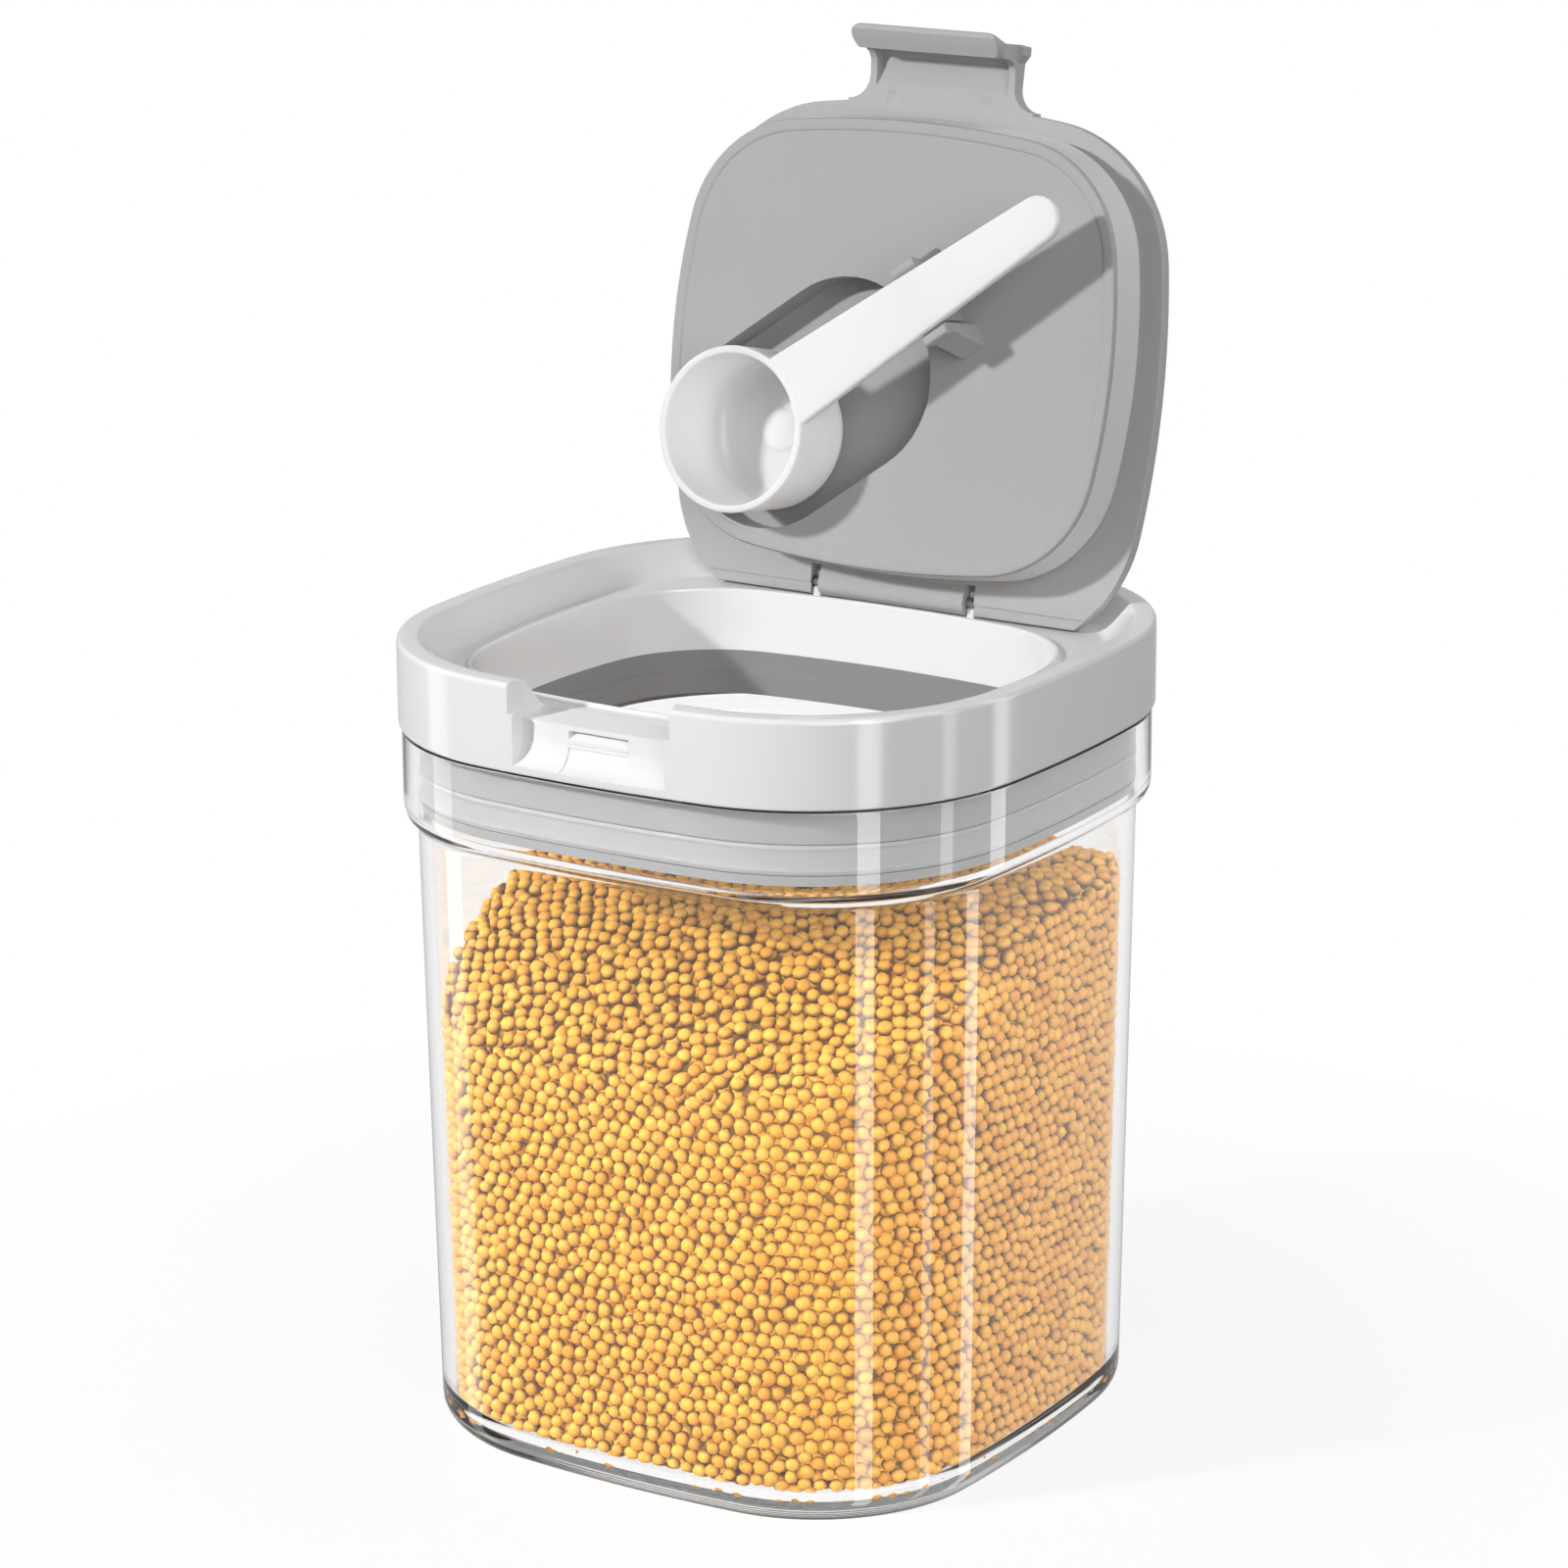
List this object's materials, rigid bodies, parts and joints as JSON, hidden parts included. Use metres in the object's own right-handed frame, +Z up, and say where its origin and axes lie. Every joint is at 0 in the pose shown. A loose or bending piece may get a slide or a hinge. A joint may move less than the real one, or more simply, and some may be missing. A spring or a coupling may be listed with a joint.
{
  "type": "cereal container with flip lid",
  "caption": "Clear soft-square jar with a lift-off white collar, a grey flip lid with latch hood and sealed plug, and a measuring scoop clipped under the lid.",
  "frame": {"origin": "centre of the jar's flat bottom", "axes": "+Z up, -Y towards the front with the latch recess, +Y towards the hinge, +X to the right of someone facing the front"},
  "size_m": [0.12, 0.12, 0.2426],
  "materials": {
    "clear_plastic": "clear, glossy, moulded",
    "white_plastic": "glossy white",
    "grey_plastic": "satin grey",
    "silicone": "soft grey silicone",
    "pin_steel": "drawn wire",
    "lid_plastic": "satin grey",
    "plug_plastic": "satin grey",
    "scoop_plastic": "glossy white"
  },
  "bodies": {
    "jar": {"jar_body": "clear_plastic"},
    "collar": {"collar_frame": "white_plastic", "neck_ring": "grey_plastic", "neck_seal": "silicone", "hinge_pin": "pin_steel"},
    "flip_lid": {"lid_shell": "lid_plastic", "lid_plug": "plug_plastic", "lid_seal": "silicone"},
    "measuring_scoop": {"scoop": "scoop_plastic"}
  },
  "joints": [
    {"name": "collar_lift", "type": "slide", "parent": "jar", "child": "collar", "axis": [0, 0, 1], "range_m": [0, 0.08]},
    {"name": "lid_hinge", "type": "hinge", "parent": "collar", "child": "flip_lid", "pos_m": [0, 0.0396, 0.14175], "axis": [1, 0, 0], "range_deg": [0, 101]},
    {"name": "scoop_pull", "type": "slide", "parent": "flip_lid", "child": "measuring_scoop", "axis": [0, -0.9816, 0.1908], "range_m": [0, 0.05]}
  ]
}
